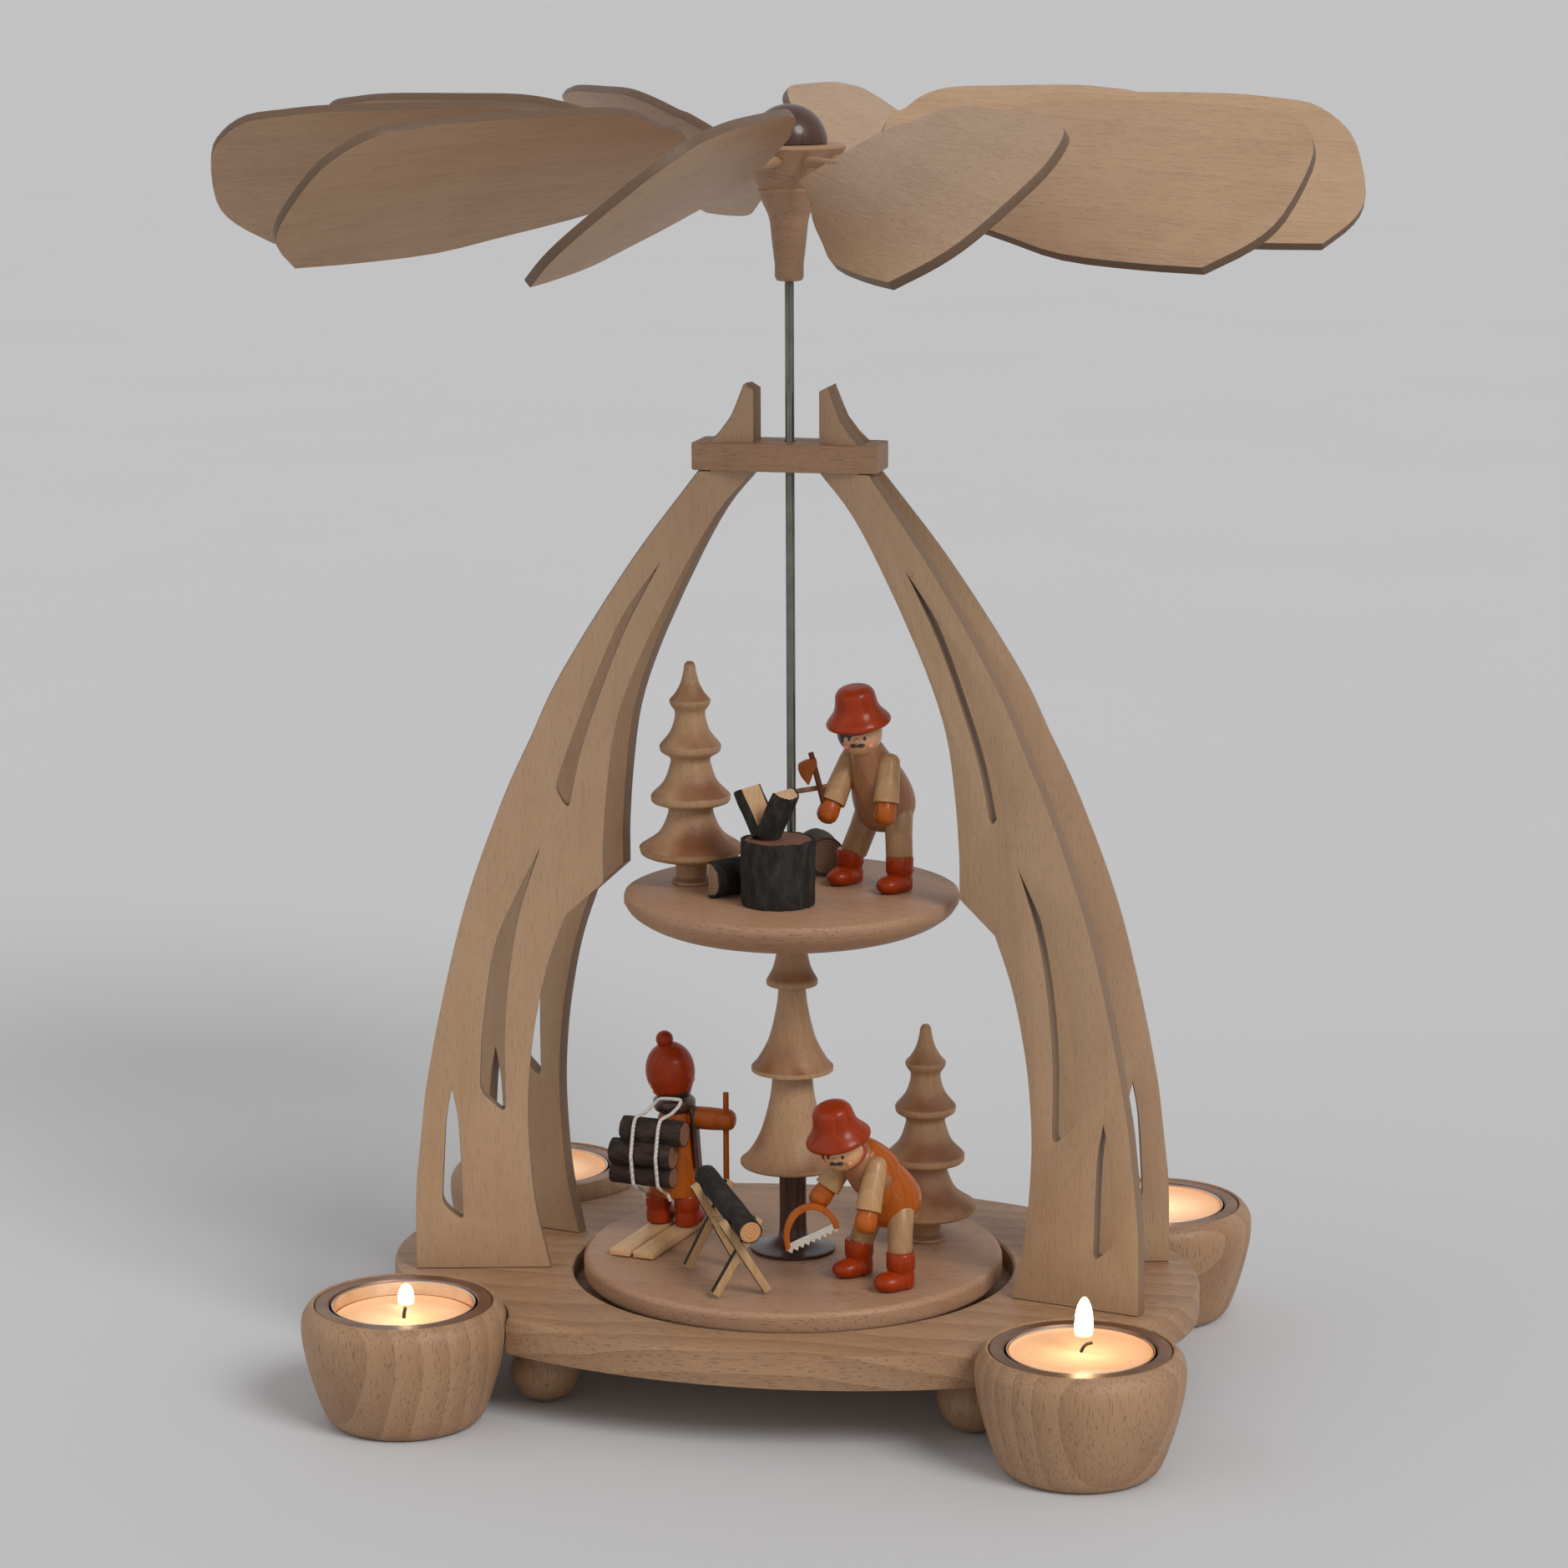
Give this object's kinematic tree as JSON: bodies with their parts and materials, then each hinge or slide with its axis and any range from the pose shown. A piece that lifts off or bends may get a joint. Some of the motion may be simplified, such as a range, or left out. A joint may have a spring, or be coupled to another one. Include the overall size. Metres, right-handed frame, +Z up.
{
  "type": "candle carousel",
  "caption": "Wooden candle carousel: warm air from tealights turns a bladed fan and stages with woodcutter figures inside a leg frame.",
  "frame": {"origin": "on the table, under the rotor's axis, which is the centre of the fan and of the base", "axes": "+Z up along the rotor's axis, +X along the long side of the base to the viewer's right, +Y away from the viewer"},
  "size_m": [0.2934, 0.298, 0.3434],
  "materials": {
    "beech": "satin natural beech",
    "maple": "satin pale wood",
    "walnut": "satin dark stained wood",
    "bark": "rough dark bark",
    "stained_orange": "glossy orange-red stain",
    "coat_orange": "glossy orange-brown stain",
    "steel": "dull dark steel rod",
    "aluminium": "thin bright sheet",
    "wax": "warm white wax",
    "white_cord": "matte white cord"
  },
  "bodies": {
    "base": {"base_plate": "beech", "top_bar": "beech", "ball_foot_fl": "beech", "ball_foot_fr": "beech", "ball_foot_rl": "beech", "ball_foot_rr": "beech", "candle_cup_fl": "beech", "candle_cup_fr": "beech", "candle_cup_rl": "beech", "candle_cup_rr": "beech", "cup_insert_fl": "aluminium", "cup_insert_fr": "aluminium", "cup_insert_rl": "aluminium", "cup_insert_rr": "aluminium", "leg_fl": "maple", "leg_fr": "maple", "leg_rl": "maple", "leg_rr": "maple"},
    "tealight_fl": {"tealight_shell_fl": "aluminium", "tealight_wax_fl": "wax"},
    "tealight_fr": {"tealight_shell_fr": "aluminium", "tealight_wax_fr": "wax"},
    "tealight_rl": {"tealight_shell_rl": "aluminium", "tealight_wax_rl": "wax"},
    "tealight_rr": {"tealight_shell_rr": "aluminium", "tealight_wax_rr": "wax"},
    "fan_blade_01": {"blade_01": "maple"},
    "fan_blade_02": {"blade_02": "maple"},
    "fan_blade_03": {"blade_03": "maple"},
    "fan_blade_04": {"blade_04": "maple"},
    "fan_blade_05": {"blade_05": "maple"},
    "fan_blade_06": {"blade_06": "maple"},
    "fan_blade_07": {"blade_07": "maple"},
    "fan_blade_08": {"blade_08": "maple"},
    "fan_blade_09": {"blade_09": "maple"},
    "fan_blade_10": {"blade_10": "maple"},
    "rotor": {"axe": "stained_orange", "bow_saw": "coat_orange", "bundle_cord": "white_cord", "chopping_block": "bark", "half_log": "bark", "hub": "beech", "knob": "walnut", "log_bundle": "bark", "lower_disc": "beech", "round_log": "bark", "sawhorse": "maple", "sawn_log": "bark", "sawyer": "coat_orange", "sawyer_hat": "stained_orange", "shaft": "steel", "split_log": "bark", "tree_crown": "beech", "tree_trunk": "walnut", "turned_tree_lower": "beech", "turned_tree_upper": "beech", "upper_disc": "beech", "walker": "coat_orange", "woodcutter": "beech", "woodcutter_hat": "stained_orange"}
  },
  "joints": [
    {"name": "rotor_spin", "type": "hinge", "parent": "base", "child": "rotor", "pos_m": [0, 0, 0.0325], "axis": [0, 0, 1], "continuous": true},
    {"name": "blade_pitch_01", "type": "hinge", "parent": "rotor", "child": "fan_blade_01", "pos_m": [-0.00038, -0.01199, 0.3272], "axis": [-0.0321, -0.9995, 0], "range_deg": [-20, 20]},
    {"name": "blade_pitch_02", "type": "hinge", "parent": "rotor", "child": "fan_blade_02", "pos_m": [0.00674, -0.00993, 0.3272], "axis": [0.5615, -0.8275, 0], "range_deg": [-20, 20]},
    {"name": "blade_pitch_03", "type": "hinge", "parent": "rotor", "child": "fan_blade_03", "pos_m": [0.01129, -0.00407, 0.3272], "axis": [0.9406, -0.3394, 0], "range_deg": [-20, 20]},
    {"name": "blade_pitch_04", "type": "hinge", "parent": "rotor", "child": "fan_blade_04", "pos_m": [0.01153, 0.00334, 0.3272], "axis": [0.9605, 0.2783, 0], "range_deg": [-20, 20]},
    {"name": "blade_pitch_05", "type": "hinge", "parent": "rotor", "child": "fan_blade_05", "pos_m": [0.00736, 0.00948, 0.3272], "axis": [0.6135, 0.7897, 0], "range_deg": [-20, 20]},
    {"name": "blade_pitch_06", "type": "hinge", "parent": "rotor", "child": "fan_blade_06", "pos_m": [0.00038, 0.01199, 0.3272], "axis": [0.0321, 0.9995, 0], "range_deg": [-20, 20]},
    {"name": "blade_pitch_07", "type": "hinge", "parent": "rotor", "child": "fan_blade_07", "pos_m": [-0.00674, 0.00993, 0.3272], "axis": [-0.5615, 0.8275, 0], "range_deg": [-20, 20]},
    {"name": "blade_pitch_08", "type": "hinge", "parent": "rotor", "child": "fan_blade_08", "pos_m": [-0.01129, 0.00407, 0.3272], "axis": [-0.9406, 0.3394, 0], "range_deg": [-20, 20]},
    {"name": "blade_pitch_09", "type": "hinge", "parent": "rotor", "child": "fan_blade_09", "pos_m": [-0.01153, -0.00334, 0.3272], "axis": [-0.9605, -0.2783, 0], "range_deg": [-20, 20]},
    {"name": "blade_pitch_10", "type": "hinge", "parent": "rotor", "child": "fan_blade_10", "pos_m": [-0.00736, -0.00948, 0.3272], "axis": [-0.6135, -0.7897, 0], "range_deg": [-20, 20]},
    {"name": "tealight_lift_fl", "type": "slide", "parent": "base", "child": "tealight_fl", "axis": [0, 0, 1], "range_m": [0, 0.03]},
    {"name": "tealight_lift_fr", "type": "slide", "parent": "base", "child": "tealight_fr", "axis": [0, 0, 1], "range_m": [0, 0.03]},
    {"name": "tealight_lift_rl", "type": "slide", "parent": "base", "child": "tealight_rl", "axis": [0, 0, 1], "range_m": [0, 0.03]},
    {"name": "tealight_lift_rr", "type": "slide", "parent": "base", "child": "tealight_rr", "axis": [0, 0, 1], "range_m": [0, 0.03]}
  ]
}
